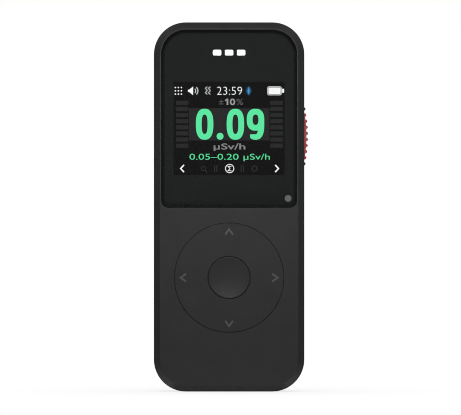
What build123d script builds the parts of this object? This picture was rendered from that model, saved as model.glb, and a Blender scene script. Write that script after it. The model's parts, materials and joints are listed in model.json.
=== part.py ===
"""Handheld geiger counter: two case shells around a board, a Geiger-Mueller tube, a cell and a display.

Millimetres. X runs to the right, Y into the case from the front face, and Z up. The origin is the middle of
the bottom face. "Depth" always means the distance behind the front face, and an extrusion by (start - end)
carries a sketch drawn at one depth to another.
"""

from build123d import *
from math import sqrt
import os

# ---------------------------------------------------------------- driving dimensions

case_width = 55.0
case_height = 135.0
case_depth = 21.0
case_corner = 11.7
front_wall = 2.4
side_wall = 1.8
rear_wall = 1.8
bevel_width = 2.2
bevel_depth = 2.6
edge_break = 0.25
rear_round = 4.0
rear_round_inside = 2.2
split_depth = 9.5
split_groove = 0.2
tongue_inset = 0.95
tongue_length = 1.0
rebate_gap = 0.08

running_gap = 0.05  # a shaft in its hole
thin_gap = 0.05  # stacked sheets and the tongue
fit_gap = 0.1  # a part dropped into a pocket
key_gap = 0.3  # around every key
overlap = 0.1  # how far added material reaches into a wall it grows from

window_width = 49.7
window_height = 65.1
window_mid = 99.75
window_top_corner = 9.05
window_bottom_corner = 2.7
window_recess = 0.12
lens_thickness = 1.1
lens_slope_width = 2.0
lens_slope_depth = 0.3
lens_edge = 0.1
mask_thickness = 0.18
mask_margin = 0.3

view_width = 40.6
view_height = 34.1
view_mid = 96.2
panel_width = 45.0
panel_height = 40.0
panel_mid = 94.6
panel_depth = 1.6
panel_thickness = 1.3
guide_thickness = 0.95
tray_front = 2.0
tray_wall = 0.6
tray_floor = 0.8
tray_clearance = 0.3

indicator_point = (21.55, 70.64)
indicator_radius = 1.25

nav_height = 41.67
nav_radius = 19.95
nav_gap = 0.2  # around the ring, and between it and the centre key
ring_bore = 7.8
ring_plate = 2.2
ring_skirt = 18.9
ring_flange = 21.4
flange_top = 3.3
flange_bottom = 4.7
gimbal_inner = 21.6
gimbal_outer = 23.4
gimbal_top = 3.1
gimbal_bottom = 4.9
pivot_depth = 4.0
pivot_radius = 0.5
trunnion_reach = 25.2
switch_circle = 14.5
nub_radius = 1.2
nub_bottom = 4.5
mat_top = 4.93
mat_web = 0.45
mat_inner = 9.8
mat_outer = 18.4
mat_foot = 0.8

key_radius = 7.6
key_dish = 0.9
key_top = 1.9
key_wall = 1.2
key_flange = 9.0
key_flange_top = 2.7
key_flange_bottom = 3.3
key_stem = 1.2
plunger_top = 4.6
plunger_radius = 1.0
touch_gap = 0.02  # between a stem and the plunger it pushes

side_key_height = 93.35
side_key_length = 17.7
side_key_width = 7.6
side_key_corner = 1.2
side_key_proud = 0.85
side_key_crown = 49.9
side_key_cross_crown = 12.0
side_key_flange = 1.0
side_key_stem = 1.4
rib_pitch = 2.23
rib_radius = 0.6
rib_count = 8
guard_rib_length = 3.4

board_top = 6.4
board_thickness = 1.2
board_width = 45.6
board_foot = 2.6
board_head = 131.0
board_corner = 9.0

tube_x = -18.5
tube_depth = 13.8
tube_radius = 5.0
tube_wall = 0.3
tube_foot = 22.0
tube_head = 113.0
tube_plug = 3.0
cap_radius = 3.2
cap_length = 7.0
wire_radius = 0.25

cell_x = 5.5
cell_width = 34.0
cell_height = 50.0
cell_foot = 12.0
cell_thickness = 8.0
cell_depth = 10.6

case_screw_points = [(x, z) for x in (-19.5, 19.5) for z in (8.0, 127.0)]
case_boss = 2.6
case_pilot = 0.97
case_screw_clearance = 1.1
case_screw_head = 1.9
case_screw_seat = 19.3
board_screw_rows = ((15.0, 69.5), (10.5, 124.0), (12.0, 12.0))
board_screw_points = [(side * x, z) for side in (-1, 1) for x, z in board_screw_rows]
board_boss = 2.0
board_pilot = 0.72
pilot_end = 3.4

socket_width = 8.94
socket_height = 3.16
socket_length = 7.3
socket_corner = 1.5
socket_foot = 0.8
socket_shell = 0.3

buzzer_point = (13.0, 116.0)
buzzer_radius = 6.0
buzzer_height = 3.4
buzzer_hole = 0.6
buzzer_hole_circle = 2.6
buzzer_holes = 6
chimney_inner = 5.0
chimney_front = 12.0

grille_slots = 11
grille_pitch = 4.2
grille_length = 8.0
grille_width = 1.5

label_point = (6.0, 50.0)
label_width = 30.0
label_height = 34.0
label_corner = 2.0
label_recess = 0.3

# ---------------------------------------------------------------- derived dimensions

case_mid = case_height / 2
cavity_back = case_depth - rear_wall
pocket_depth = window_recess + lens_thickness + mask_thickness
guide_depth = panel_depth + panel_thickness + thin_gap
tray_back = guide_depth + guide_thickness + thin_gap + tray_floor
board_back = board_top + board_thickness
socket_depth = board_back + socket_height / 2
side_key_y = split_depth - case_depth / 2
guard_rib_x = case_width / 2 - overlap
guard_rib_rise = (rib_count + 1) / 2 * rib_pitch
guard_rib_points = [(guard_rib_x, side_key_height + side * guard_rib_rise) for side in (-1, 1)]


def at_depth(depth):
    """The plane parallel to the front face and this far behind it, seen from the front."""
    return Plane.XZ.offset(case_depth / 2 - depth)


def y_at(depth):
    """The Y coordinate of a depth behind the front face."""
    return depth - case_depth / 2


def save(builder, name):
    """Labels a finished piece and writes it as its own STEP file."""
    builder.part.label = name
    export_step(builder.part, f"parts/{name}.step")


def front_edges(builder):
    """The edges around a piece's frontmost face."""
    return builder.faces().sort_by(Axis.Y)[0].edges()


def back_edges(builder):
    """The edges around a piece's rearmost face."""
    return builder.faces().sort_by(Axis.Y)[-1].edges()


def case_outline(inset):
    """The case's outline in the front view, shrunk by an inset."""
    with BuildSketch() as outline:
        with Locations((0, case_mid)):
            RectangleRounded(case_width - 2 * inset, case_height - 2 * inset, case_corner - inset)
    return outline.sketch


def window_outline(margin):
    """The window's outline grown by a margin: round shoulders above and tighter corners below."""
    with BuildSketch() as outline:
        with Locations((0, window_mid)):
            Rectangle(window_width + 2 * margin, window_height + 2 * margin)
        fillet(outline.vertices().group_by(Axis.Y)[-1], window_top_corner + margin)
        fillet(outline.vertices().group_by(Axis.Y)[0], window_bottom_corner + margin)
    return outline.sketch


os.makedirs("parts", exist_ok=True)

# ---------------------------------------------------------------- openings cut through both shells

opening_start = case_width / 2 - side_wall - 1
with BuildPart() as side_key_opening:
    with BuildSketch(Plane.YZ.offset(opening_start)):
        with Locations((side_key_y, side_key_height)):
            RectangleRounded(side_key_width + key_gap, side_key_length + key_gap, side_key_corner + fit_gap)
    extrude(amount=case_width / 2 + 1 - opening_start)

with BuildPart() as charging_opening:
    with BuildSketch(Plane.XY.offset(-1)):
        with Locations((0, y_at(socket_depth))):
            RectangleRounded(socket_width + 2 * key_gap, socket_height + 2 * key_gap, socket_corner + key_gap)
    extrude(amount=side_wall + 2)

# ---------------------------------------------------------------- front case

ear_width = 2.2
ear_height = 4.4
ear_bottom = 5.5
ear_x = gimbal_outer + key_gap + ear_width / 2
snap_mouth = 0.9

with BuildPart() as front_case:
    with BuildSketch(at_depth(0)):
        add(case_outline(0))
    extrude(amount=-split_depth)
    face = front_case.faces().sort_by(Axis.Y)[0]
    chamfer(face.edges(), length=bevel_width, length2=bevel_depth, reference=face)
    fillet(front_edges(front_case), edge_break)
    chamfer(back_edges(front_case), split_groove)
    # Cavity behind the front wall, and the tongue that locates the rear case.
    with BuildSketch(at_depth(front_wall)):
        add(case_outline(side_wall))
    extrude(amount=front_wall - split_depth, mode=Mode.SUBTRACT)
    with BuildSketch(at_depth(split_depth - overlap)):
        add(case_outline(tongue_inset))
        add(case_outline(side_wall), mode=Mode.SUBTRACT)
    extrude(amount=-(tongue_length + overlap))
    # Front halves of the guard ribs above and below the side key.
    with BuildSketch(at_depth(split_depth)):
        with Locations(*guard_rib_points):
            Circle(rib_radius)
    extrude(amount=guard_rib_length)
    # Window pocket, then the openings behind it and the one for the navigation ring.
    with BuildSketch(at_depth(0)):
        add(window_outline(fit_gap))
    extrude(amount=-pocket_depth, mode=Mode.SUBTRACT)
    with BuildSketch(at_depth(0)):
        with Locations((0, panel_mid)):
            tray_margin = fit_gap + tray_wall + tray_clearance
            Rectangle(panel_width + 2 * tray_margin, panel_height + 2 * tray_margin)
        with Locations(indicator_point):
            Circle(indicator_radius + thin_gap)
        with Locations((0, nav_height)):
            Circle(nav_radius + nav_gap)
    extrude(amount=-front_wall, mode=Mode.SUBTRACT)
    # Ears that carry the gimbal's trunnions, snapped in from the rear.
    with BuildSketch(at_depth(front_wall - overlap)):
        with Locations((-ear_x, nav_height), (ear_x, nav_height)):
            Rectangle(ear_width, ear_height)
    extrude(amount=front_wall - overlap - ear_bottom)
    with BuildSketch(Plane.YZ.offset(-trunnion_reach - fit_gap)):
        with Locations((y_at(pivot_depth), nav_height)):
            Circle(pivot_radius + running_gap)
        with Locations((y_at((pivot_depth + ear_bottom) / 2), nav_height)):
            Rectangle(ear_bottom - pivot_depth, snap_mouth)
    extrude(amount=2 * (trunnion_reach + fit_gap), mode=Mode.SUBTRACT)
    # Bosses for the case screws and the board screws, with their pilot holes.
    for points, boss, pilot, end in (
        (case_screw_points, case_boss, case_pilot, split_depth),
        (board_screw_points, board_boss, board_pilot, board_top),
    ):
        with BuildSketch(at_depth(front_wall - overlap)):
            with Locations(*points):
                Circle(boss)
        extrude(amount=front_wall - overlap - end)
        with BuildSketch(at_depth(end)):
            with Locations(*points):
                Circle(pilot)
        extrude(amount=end - pilot_end, mode=Mode.SUBTRACT)
    add(side_key_opening.part, mode=Mode.SUBTRACT)
    add(charging_opening.part, mode=Mode.SUBTRACT)
save(front_case, "front_case")

# ---------------------------------------------------------------- rear case, its label and the case screws

counterbore = 2.15
divider_x = tube_x + tube_radius + 1.0
divider_width = 0.9
cell_stop_width = 12.0
cell_stop_gap = 0.3

with BuildPart() as rear_case:
    with BuildSketch(at_depth(split_depth)):
        add(case_outline(0))
    extrude(amount=split_depth - case_depth)
    fillet(back_edges(rear_case), rear_round)
    chamfer(front_edges(rear_case), split_groove)
    # Cavity with a rounded floor, made as its own solid and taken away.
    with BuildPart(mode=Mode.PRIVATE) as cavity:
        with BuildSketch(at_depth(split_depth)):
            add(case_outline(side_wall))
        extrude(amount=split_depth - cavity_back)
        fillet(back_edges(cavity), rear_round_inside)
    add(cavity.part, mode=Mode.SUBTRACT)
    # Rebate that takes the front case's tongue.
    with BuildSketch(at_depth(split_depth)):
        add(case_outline(tongue_inset - rebate_gap))
    extrude(amount=-(tongue_length + fit_gap), mode=Mode.SUBTRACT)
    # Rear halves of the guard ribs.
    with BuildSketch(at_depth(split_depth)):
        with Locations(*guard_rib_points):
            Circle(rib_radius)
    extrude(amount=-guard_rib_length)
    # Screw bosses, bored and counterbored for the heads.
    with BuildSketch(at_depth(split_depth)):
        with Locations(*case_screw_points):
            Circle(case_boss)
    extrude(amount=split_depth - case_screw_seat)
    with BuildSketch(at_depth(split_depth)):
        with Locations(*case_screw_points):
            Circle(case_screw_clearance)
    extrude(amount=split_depth - case_depth, mode=Mode.SUBTRACT)
    with BuildSketch(at_depth(case_screw_seat)):
        with Locations(*case_screw_points):
            Circle(counterbore)
    extrude(amount=case_screw_seat - case_depth, mode=Mode.SUBTRACT)
    # Detector grille over the tube.
    with BuildSketch(at_depth(case_depth)):
        with Locations((tube_x, case_mid)):
            with GridLocations(0, grille_pitch, 1, grille_slots):
                SlotOverall(grille_length, grille_width)
    extrude(amount=rear_wall, mode=Mode.SUBTRACT)
    # Sound chimney and its holes behind the buzzer.
    with BuildSketch(at_depth(chimney_front)):
        with Locations(buzzer_point):
            Circle(buzzer_radius)
            Circle(chimney_inner, mode=Mode.SUBTRACT)
    extrude(amount=chimney_front - cavity_back - overlap)
    with BuildSketch(at_depth(case_depth)):
        with Locations(buzzer_point):
            Circle(buzzer_hole)
            with PolarLocations(buzzer_hole_circle, buzzer_holes):
                Circle(buzzer_hole)
    extrude(amount=rear_wall, mode=Mode.SUBTRACT)
    # Divider between the tube and the cell, and a stop above the cell.
    with BuildSketch(at_depth(chimney_front)):
        with Locations((divider_x, cell_foot + cell_height / 2)):
            Rectangle(divider_width, cell_height)
        with Locations((cell_x, cell_foot + cell_height + cell_stop_gap + divider_width / 2)):
            Rectangle(cell_stop_width, divider_width)
    extrude(amount=chimney_front - cavity_back - overlap)
    # Shallow recess for the label.
    with BuildSketch(at_depth(case_depth)):
        with Locations(label_point):
            RectangleRounded(label_width, label_height, label_corner)
    extrude(amount=label_recess, mode=Mode.SUBTRACT)
    add(side_key_opening.part, mode=Mode.SUBTRACT)
    add(charging_opening.part, mode=Mode.SUBTRACT)
save(rear_case, "rear_case")

with BuildPart() as rear_label:
    with BuildSketch(at_depth(case_depth - label_recess)):
        with Locations(label_point):
            margin = 2 * fit_gap
            RectangleRounded(label_width - 2 * margin, label_height - 2 * margin, label_corner - margin)
    extrude(amount=thin_gap - label_recess)
save(rear_label, "rear_label")


def cross_recess_screws(points, seat, head, head_height, shank, tip, recess):
    """Screws driven from the rear: heads behind the seat, shanks forward to the tip, and a cross recess."""
    with BuildPart() as screws:
        with BuildSketch(at_depth(seat)):
            with Locations(*points):
                Circle(head)
        extrude(amount=-head_height)
        fillet(screws.faces().group_by(Axis.Y)[-1].edges(), head_height / 4)
        with BuildSketch(at_depth(seat)):
            with Locations(*points):
                Circle(shank)
        extrude(amount=seat - tip)
        with BuildSketch(at_depth(seat + head_height)):
            with Locations(*points):
                Rectangle(recess, recess / 4)
                Rectangle(recess / 4, recess)
        extrude(amount=head_height / 2, mode=Mode.SUBTRACT)
    return screws


case_screws = cross_recess_screws(case_screw_points, case_screw_seat, case_screw_head, 1.3, 0.95, 4.0, 2.2)
save(case_screws, "case_screws")

# ---------------------------------------------------------------- window and display

with BuildPart() as window_lens:
    with BuildSketch(at_depth(window_recess)):
        add(window_outline(0))
    extrude(amount=-lens_thickness)
    # The glass falls away gently towards its edge.
    face = window_lens.faces().sort_by(Axis.Y)[0]
    chamfer(face.edges(), length=lens_slope_width, length2=lens_slope_depth, reference=face)
    fillet(front_edges(window_lens), lens_edge)
save(window_lens, "window_lens")

with BuildPart() as window_mask:
    with BuildSketch(at_depth(window_recess + lens_thickness)):
        add(window_outline(-mask_margin))
        with Locations((0, view_mid)):
            Rectangle(view_width, view_height, mode=Mode.SUBTRACT)
        with Locations(indicator_point):
            Circle(indicator_radius, mode=Mode.SUBTRACT)
    extrude(amount=-mask_thickness)
save(window_mask, "window_mask")

gasket_lip = 0.4
with BuildPart() as display_gasket:
    with BuildSketch(at_depth(pocket_depth)):
        with Locations((0, panel_mid)):
            Rectangle(panel_width, panel_height)
        with Locations((0, view_mid)):
            Rectangle(view_width + 2 * gasket_lip, view_height + 2 * gasket_lip, mode=Mode.SUBTRACT)
    extrude(amount=pocket_depth - panel_depth)
save(display_gasket, "display_gasket")

with BuildPart() as display_panel:
    with BuildSketch(at_depth(panel_depth)):
        with Locations((0, panel_mid)):
            Rectangle(panel_width, panel_height)
    extrude(amount=-panel_thickness)
save(display_panel, "display_panel")

with BuildPart() as display_light_guide:
    with BuildSketch(at_depth(guide_depth)):
        with Locations((0, panel_mid)):
            Rectangle(panel_width - 2 * fit_gap, panel_height - 2 * fit_gap)
    extrude(amount=-guide_thickness)
save(display_light_guide, "display_light_guide")

flex_width = 12.0
flex_thickness = 0.16
flex_depth = 2.6
post_radius = 1.2
post_spacing = (38.0, 32.0)

with BuildPart() as display_tray:
    with BuildSketch(at_depth(tray_front)):
        with Locations((0, panel_mid)):
            tray_margin = fit_gap + tray_wall
            Rectangle(panel_width + 2 * tray_margin, panel_height + 2 * tray_margin)
    extrude(amount=tray_front - tray_back)
    # The panel's pocket, open below where the flex leaves.
    with BuildSketch(at_depth(tray_front)):
        with Locations((0, panel_mid)):
            Rectangle(panel_width + 2 * fit_gap, panel_height + 2 * fit_gap)
        with Locations((0, panel_mid - panel_height / 2 - tray_wall)):
            Rectangle(flex_width + 1, 4 * tray_wall)
    extrude(amount=tray_front - tray_back + tray_floor, mode=Mode.SUBTRACT)
    # Posts that stand on the board.
    with BuildSketch(at_depth(tray_back)):
        with Locations((0, panel_mid)):
            with GridLocations(*post_spacing, 2, 2):
                Circle(post_radius)
    extrude(amount=tray_back - board_top)
save(display_tray, "display_tray")

# The flex leaves the panel's lower edge and makes an S to the connector on the board.
flex_bend = 1.2
flex_start = panel_mid - panel_height / 2 - thin_gap
flex_turn = 71.9
flex_end = 67.4
connector_depth = board_top - 0.7
connector_height = 1.1

with BuildPart() as display_flex:
    with BuildSketch(Plane.YZ.offset(-flex_width / 2)):
        with BuildLine():
            down = Line((y_at(flex_depth), flex_start), (y_at(flex_depth), flex_turn))
            inward = RadiusArc(down @ 1, (y_at(flex_depth + flex_bend), flex_turn - flex_bend), -flex_bend)
            across = Line(inward @ 1, (y_at(connector_depth - flex_bend), flex_turn - flex_bend))
            downward = RadiusArc(across @ 1, (y_at(connector_depth), flex_turn - 2 * flex_bend), flex_bend)
            Line(downward @ 1, (y_at(connector_depth), flex_end))
        trace(line_width=flex_thickness)
    extrude(amount=flex_width)
save(display_flex, "display_flex")

with BuildPart() as display_connector:
    with BuildSketch(at_depth(board_top - connector_height)):
        with Locations((0, flex_end)):
            Rectangle(flex_width + 2, 2.4)
    extrude(amount=-connector_height)
    with BuildSketch(Plane.XY.offset(flex_end - thin_gap)):
        with Locations((0, y_at(connector_depth))):
            Rectangle(flex_width + 2 * fit_gap, flex_thickness + fit_gap)
    extrude(amount=2, mode=Mode.SUBTRACT)
save(display_connector, "display_connector")

led_width = 1.6
led_height = 0.6
pipe_flange = 1.7
pipe_front = pocket_depth + touch_gap
with BuildPart() as light_pipe:
    with BuildSketch(at_depth(pipe_front)):
        with Locations(indicator_point):
            Circle(indicator_radius - thin_gap)
    extrude(amount=pipe_front - board_top + led_height + fit_gap)
    with BuildSketch(at_depth(front_wall + thin_gap)):
        with Locations(indicator_point):
            Circle(pipe_flange)
    extrude(amount=-led_height)
save(light_pipe, "light_pipe")

with BuildPart() as indicator_led:
    with BuildSketch(at_depth(board_top - led_height)):
        with Locations(indicator_point):
            Rectangle(led_width, led_width / 2)
    extrude(amount=-led_height)
save(indicator_led, "indicator_led")

# ---------------------------------------------------------------- navigation ring, gimbal and centre key

pin_reach = gimbal_outer - 2 * fit_gap
pin_length = pin_reach - ring_flange + 1

with BuildPart() as nav_ring:
    with BuildSketch(at_depth(0)):
        with Locations((0, nav_height)):
            Circle(nav_radius)
    extrude(amount=-flange_bottom)
    fillet(front_edges(nav_ring), edge_break)
    with BuildSketch(at_depth(flange_top)):
        with Locations((0, nav_height)):
            Circle(ring_flange)
    extrude(amount=flange_top - flange_bottom)
    with BuildSketch(at_depth(ring_plate)):
        with Locations((0, nav_height)):
            Circle(ring_skirt)
    extrude(amount=ring_plate - flange_bottom, mode=Mode.SUBTRACT)
    with BuildSketch(at_depth(0)):
        with Locations((0, nav_height)):
            Circle(ring_bore)
    extrude(amount=-ring_plate, mode=Mode.SUBTRACT)
    circles = nav_ring.edges().filter_by(GeomType.CIRCLE)
    bore_edges = circles.filter_by(lambda edge: abs(edge.radius - ring_bore) < touch_gap)
    fillet(bore_edges.sort_by(Axis.Y)[0], edge_break)
    # Nubs that press the four switches.
    with BuildSketch(at_depth(ring_plate)):
        with Locations((0, nav_height)):
            with PolarLocations(switch_circle, 4):
                Circle(nub_radius)
    extrude(amount=ring_plate - nub_bottom)
    # Pins above and below that carry the ring in the gimbal.
    for start in (nav_height - pin_reach, nav_height + pin_reach - pin_length):
        with BuildSketch(Plane.XY.offset(start)):
            with Locations((0, y_at(pivot_depth))):
                Circle(pivot_radius)
        extrude(amount=pin_length)
save(nav_ring, "nav_ring")

with BuildPart() as nav_gimbal:
    with BuildSketch(at_depth(gimbal_top)):
        with Locations((0, nav_height)):
            Circle(gimbal_outer)
            Circle(gimbal_inner, mode=Mode.SUBTRACT)
    extrude(amount=gimbal_top - gimbal_bottom)
    # Trunnions to the left and right.
    trunnion_root = (gimbal_inner + gimbal_outer) / 2
    for side in (-1, 1):
        with BuildSketch(Plane.YZ.offset(side * trunnion_root)):
            with Locations((y_at(pivot_depth), nav_height)):
                Circle(pivot_radius)
        extrude(amount=side * (trunnion_reach - trunnion_root))
    # Holes above and below for the ring's pins.
    with BuildSketch(Plane.XY.offset(nav_height - gimbal_outer)):
        with Locations((0, y_at(pivot_depth))):
            Circle(pivot_radius + running_gap)
    extrude(amount=2 * gimbal_outer, mode=Mode.SUBTRACT)
save(nav_gimbal, "nav_gimbal")

dish_radius = (key_radius**2 + key_dish**2) / (2 * key_dish)

with BuildPart() as center_key:
    with BuildSketch(at_depth(0)):
        with Locations((0, nav_height)):
            Circle(key_radius)
    extrude(amount=-key_flange_bottom)
    with Locations((0, y_at(key_dish) - dish_radius, nav_height)):
        Sphere(dish_radius, mode=Mode.SUBTRACT)
    with BuildSketch(at_depth(key_flange_top)):
        with Locations((0, nav_height)):
            Circle(key_flange)
    extrude(amount=key_flange_top - key_flange_bottom)
    # Hollow underside around a stem that reaches down to the switch.
    with BuildSketch(at_depth(key_top)):
        with Locations((0, nav_height)):
            Circle(key_radius - key_wall)
            Circle(key_stem, mode=Mode.SUBTRACT)
    extrude(amount=key_top - key_flange_bottom, mode=Mode.SUBTRACT)
    with BuildSketch(at_depth(key_flange_bottom)):
        with Locations((0, nav_height)):
            Circle(key_stem)
    extrude(amount=key_flange_bottom - plunger_top + touch_gap)
    rim = center_key.edges().filter_by(GeomType.CIRCLE).sort_by(Axis.Y)[0]
    fillet(rim, edge_break)
save(center_key, "center_key")

with BuildPart() as key_mat:
    with BuildSketch(at_depth(mat_top)):
        with Locations((0, nav_height)):
            Circle(mat_outer)
            Circle(mat_inner, mode=Mode.SUBTRACT)
    extrude(amount=mat_top - board_top)
    # Domed-over space between the inner and outer feet, where the switches stand.
    with BuildSketch(at_depth(mat_top + mat_web)):
        with Locations((0, nav_height)):
            Circle(mat_outer - mat_foot)
            Circle(mat_inner + mat_foot, mode=Mode.SUBTRACT)
    extrude(amount=mat_top + mat_web - board_top, mode=Mode.SUBTRACT)
save(key_mat, "key_mat")

nav_switch_side = 4.2
nav_switch_top = 5.75
nav_switch_button = 1.0
button_top = mat_top + mat_web + touch_gap
with BuildPart() as nav_switches:
    with BuildSketch(at_depth(nav_switch_top)):
        with Locations((0, nav_height)):
            with PolarLocations(switch_circle, 4):
                Rectangle(nav_switch_side, nav_switch_side)
    extrude(amount=nav_switch_top - board_top)
    with BuildSketch(at_depth(button_top)):
        with Locations((0, nav_height)):
            with PolarLocations(switch_circle, 4):
                Circle(nav_switch_button)
    extrude(amount=button_top - nav_switch_top)
save(nav_switches, "nav_switches")

center_switch_side = 5.2
center_switch_height = 1.0
plunger_length = 1.3
with BuildPart() as center_switch:
    with BuildSketch(at_depth(board_top - center_switch_height)):
        with Locations((0, nav_height)):
            RectangleRounded(center_switch_side, center_switch_side, 0.5)
            Circle(plunger_radius + running_gap, mode=Mode.SUBTRACT)
    extrude(amount=-center_switch_height)
    with BuildSketch(at_depth(board_top)):
        with Locations((0, nav_height)):
            Circle(plunger_radius + running_gap)
    extrude(amount=fit_gap)
save(center_switch, "center_switch")

with BuildPart() as center_switch_plunger:
    with BuildSketch(at_depth(plunger_top)):
        with Locations((0, nav_height)):
            Circle(plunger_radius)
    extrude(amount=-plunger_length)
    fillet(front_edges(center_switch_plunger), 2 * fit_gap)
save(center_switch_plunger, "center_switch_plunger")

# ---------------------------------------------------------------- side key and its switch

crown_x = case_width / 2 + side_key_proud - side_key_crown
flange_outer_x = case_width / 2 - side_wall - thin_gap
flange_inner_x = flange_outer_x - side_key_flange
side_plunger_x = 23.6
side_plunger_radius = 0.9
side_plunger_length = 2.5
side_switch_x = 22.6
side_switch_side = 3.8
side_switch_length = 6.0


def rib_point(index):
    """Centre of one grip rib, on the arc of the key's crowned face."""
    z = (index - (rib_count - 1) / 2) * rib_pitch
    return (crown_x + sqrt(side_key_crown**2 - z**2), side_key_height + z)


rib_tip_x = rib_point(rib_count // 2)[0] + rib_radius

with BuildPart() as side_key:
    with BuildSketch(Plane.XZ.offset(side_key_width / 2 - side_key_y)):
        with Locations((crown_x, side_key_height)):
            Circle(side_key_crown)
        with Locations((flange_inner_x + case_width / 2, side_key_height)):
            Rectangle(case_width, side_key_length, mode=Mode.INTERSECT)
        with Locations(*[rib_point(i) for i in range(rib_count)]):
            Circle(rib_radius)
    extrude(amount=-side_key_width)
    # Round the corners, and crown the key across its width.
    with BuildSketch(Plane.YZ.offset(flange_inner_x)):
        with Locations((side_key_y, side_key_height)):
            RectangleRounded(side_key_width, side_key_length, side_key_corner)
    extrude(amount=2 * side_key_width, mode=Mode.INTERSECT)
    with BuildSketch(Plane.XY.offset(side_key_height - side_key_length / 2)):
        with Locations((rib_tip_x - side_key_cross_crown, side_key_y)):
            Circle(side_key_cross_crown)
    extrude(amount=side_key_length, mode=Mode.INTERSECT)
    # Flange inside the case wall, and the stem that reaches the switch.
    with BuildSketch(Plane.YZ.offset(flange_inner_x)):
        with Locations((side_key_y, side_key_height)):
            RectangleRounded(side_key_width + 1.6, side_key_length + 1.9, 1.5 * side_key_corner)
    extrude(amount=side_key_flange)
    with BuildSketch(Plane.YZ.offset(side_plunger_x + touch_gap)):
        with Locations((side_key_y, side_key_height)):
            Circle(side_key_stem)
    extrude(amount=flange_inner_x - side_plunger_x)
save(side_key, "side_key")

with BuildPart() as side_switch:
    with BuildSketch(at_depth(board_back)):
        with Locations((side_switch_x - side_switch_side / 2, side_key_height)):
            Rectangle(side_switch_side, side_switch_length)
    extrude(amount=-side_switch_side)
    with BuildSketch(Plane.YZ.offset(side_switch_x)):
        with Locations((side_key_y, side_key_height)):
            Circle(side_plunger_radius + running_gap)
    extrude(amount=-2.2, mode=Mode.SUBTRACT)
save(side_switch, "side_switch")

with BuildPart() as side_switch_plunger:
    with BuildSketch(Plane.YZ.offset(side_plunger_x)):
        with Locations((side_key_y, side_key_height)):
            Circle(side_plunger_radius)
    extrude(amount=-side_plunger_length)
    fillet(side_switch_plunger.faces().sort_by(Axis.X)[-1].edges(), 2 * fit_gap)
save(side_switch_plunger, "side_switch_plunger")

# ---------------------------------------------------------------- main board and what is soldered to it

with BuildPart() as main_board:
    with BuildSketch(at_depth(board_top)):
        with Locations((0, (board_foot + board_head) / 2)):
            RectangleRounded(board_width, board_head - board_foot, board_corner)
        with Locations(*case_screw_points):
            Circle(case_boss + 5 * fit_gap, mode=Mode.SUBTRACT)
        with Locations(*board_screw_points):
            Circle(board_pilot + fit_gap, mode=Mode.SUBTRACT)
    extrude(amount=-board_thickness)
save(main_board, "main_board")

board_screws = cross_recess_screws(board_screw_points, board_back, 1.4, 0.8, 0.7, 3.6, 1.6)
save(board_screws, "board_screws")


def soldered_blocks(blocks):
    """Rectangular packages on the board's rear side, each given as (centre, width, length, height)."""
    with BuildPart() as packages:
        for centre, width, length, height in blocks:
            with BuildSketch(at_depth(board_back)):
                with Locations(centre):
                    Rectangle(width, length)
            extrude(amount=-height)
    return packages


# Processor, memory and pulse amplifier.
board_chips = soldered_blocks(
    [((0, 79), 7.0, 7.0, 0.9), ((-9, 80), 4.0, 4.0, 0.8), ((13, 99), 5.0, 5.0, 1.2)]
)
save(board_chips, "board_chips")

with BuildPart() as board_passives:
    with BuildSketch(at_depth(board_back)):
        with Locations((-8, 72.5)):
            with GridLocations(2.4, 1.8, 4, 2):
                Rectangle(1.6, 0.8)
        with Locations((1, 14)):
            with GridLocations(2.4, 2.0, 5, 3):
                Rectangle(1.6, 0.8)
    extrude(amount=-0.7)
save(board_passives, "board_passives")

with BuildPart() as radio_module:
    carrier = 0.6
    with BuildSketch(at_depth(board_back)):
        with Locations((13.5, 81)):
            Rectangle(11, 14)
    extrude(amount=-carrier)
    with BuildSketch(at_depth(board_back + carrier)):
        with Locations((13.5, 79.5)):
            RectangleRounded(9.6, 9.6, carrier)
    extrude(amount=-1.4)
save(radio_module, "radio_module")

# The high-voltage converter stands under its own shield.
shield_point = (-1.0, 98.0)
shield_width = 17.0
shield_height = 22.0
shield_rise = 5.4
shield_sheet = 0.25
with BuildPart() as hv_shield:
    with BuildSketch(at_depth(board_back)):
        with Locations(shield_point):
            RectangleRounded(shield_width, shield_height, 0.8)
    extrude(amount=-shield_rise)
    with BuildSketch(at_depth(board_back)):
        with Locations(shield_point):
            RectangleRounded(shield_width - 2 * shield_sheet, shield_height - 2 * shield_sheet, 0.55)
    extrude(amount=shield_sheet - shield_rise, mode=Mode.SUBTRACT)
    with BuildSketch(at_depth(board_back + shield_rise)):
        with Locations(shield_point):
            with GridLocations(4, 4, 3, 4):
                Circle(0.6)
    extrude(amount=1, mode=Mode.SUBTRACT)
save(hv_shield, "hv_shield")

with BuildPart() as hv_transformer:
    # Drum core: two flanges and a wound waist.
    for start, end, radius in ((0.0, 0.9, 3.4), (0.9, 3.5, 2.9), (3.5, 4.4, 3.4)):
        with BuildSketch(at_depth(board_back + start)):
            with Locations((-4.5, 92.5)):
                Circle(radius)
        extrude(amount=start - end)
save(hv_transformer, "hv_transformer")

hv_capacitors = soldered_blocks([((-1.0 + 4.2 * i, 104.0), 3.2, 4.5, 2.5) for i in (-1, 0, 1)])
save(hv_capacitors, "hv_capacitors")

inner_corner = socket_corner - socket_shell
with BuildPart() as usb_socket:
    with BuildSketch(Plane.XY.offset(socket_foot)):
        with Locations((0, y_at(socket_depth))):
            RectangleRounded(socket_width, socket_height, socket_corner)
    extrude(amount=socket_length)
    with BuildSketch(Plane.XY.offset(socket_foot)):
        with Locations((0, y_at(socket_depth))):
            RectangleRounded(socket_width - 2 * socket_shell, socket_height - 2 * socket_shell, inner_corner)
    extrude(amount=socket_length - socket_shell, mode=Mode.SUBTRACT)
save(usb_socket, "usb_socket")

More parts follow.
